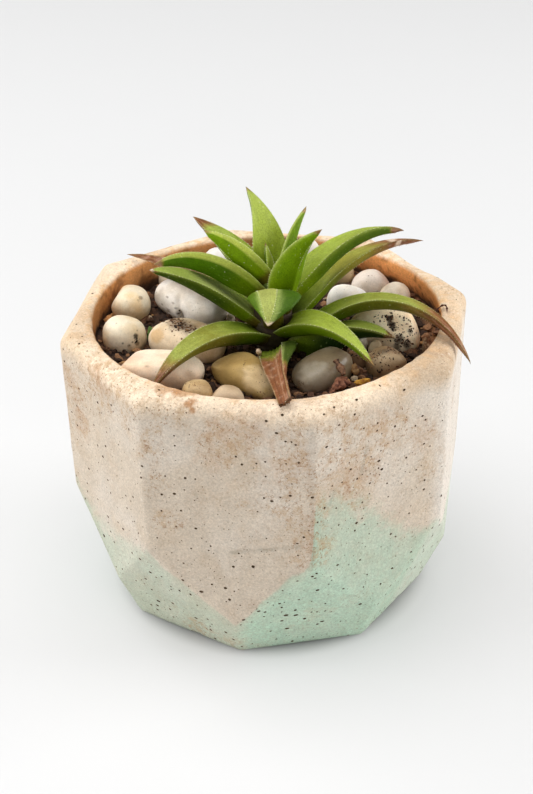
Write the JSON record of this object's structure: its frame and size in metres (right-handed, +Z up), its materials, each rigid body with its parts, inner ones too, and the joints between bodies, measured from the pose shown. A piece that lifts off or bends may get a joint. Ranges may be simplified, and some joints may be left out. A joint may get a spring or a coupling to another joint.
{
  "type": "potted haworthia",
  "caption": "Small rosette succulent with arching keeled leaves, standing in a faceted cast-concrete pot filled with soil and topped with river pebbles.",
  "frame": {"origin": "middle of the pot's flat foot, on the surface that it stands on", "axes": "+Z up; -Y towards the front of the plant, where its folded leaf lies over the rim; +X to the right seen from the front"},
  "size_m": [0.0978, 0.0978, 0.1008],
  "materials": {
    "concrete": "matte",
    "soil": "matte",
    "stem": "matte",
    "leaf_green": "satin",
    "leaf_olive": "satin",
    "leaf_dry": "matte",
    "pebble_white": "satin",
    "pebble_cream": "satin",
    "pebble_pink": "satin",
    "pebble_yellow": "satin",
    "pebble_grey": "satin",
    "pebble_brown": "satin",
    "grit": "matte",
    "bark": "matte"
  },
  "bodies": {
    "root": {"pot": "concrete", "stem": "stem", "leaf_front_beak": "leaf_green", "leaf_front_right": "leaf_green", "leaf_front_left": "leaf_green", "leaf_inner_right": "leaf_green", "leaf_inner_left": "leaf_green", "leaf_tall_back": "leaf_green", "leaf_bud": "leaf_green", "leaf_narrow_back": "leaf_green", "leaf_right_high": "leaf_green", "leaf_left_high": "leaf_green", "leaf_left_upper_back": "leaf_green", "leaf_left_low": "leaf_green", "leaf_right_mid": "leaf_olive", "leaf_right_long": "leaf_green", "leaf_right_low": "leaf_green", "leaf_front_over_rim": "leaf_dry", "leaf_dry_left": "leaf_dry", "leaf_back_right": "leaf_green", "leaf_back_left": "leaf_green", "pebble_cream_egg": "pebble_cream", "pebble_cream_spotted": "pebble_cream", "pebble_white_cleft": "pebble_white", "pebble_cream_dusty": "pebble_cream", "pebble_pink": "pebble_pink", "pebble_yellow": "pebble_yellow", "pebble_front_grey": "pebble_grey", "pebble_front_buff": "pebble_cream", "pebble_clear_grey": "pebble_grey", "pebble_grey_speckled": "pebble_grey", "pebble_brown_dirty": "pebble_brown", "pebble_large_speckled": "pebble_grey", "pebble_white_small": "pebble_white", "pebble_buff_small": "pebble_cream", "pebble_white_right": "pebble_white", "pebble_white_far_right": "pebble_white", "pebble_buff_far_right": "pebble_cream", "pebble_tan_far": "pebble_brown", "pebble_white_back_left": "pebble_white", "pebble_white_back_right": "pebble_white", "pebble_back_middle": "pebble_cream", "pebble_back_inner": "pebble_cream", "pebble_back_grey": "pebble_grey", "grit_tan": "grit", "grit_white": "grit", "bark_chip_right": "bark", "grit_orange": "grit", "bark_chunk_red": "bark", "bark_flake_yellow": "bark", "leaf_scrap_green": "leaf_green", "twig": "bark", "soil": "soil"}
  },
  "joints": []
}
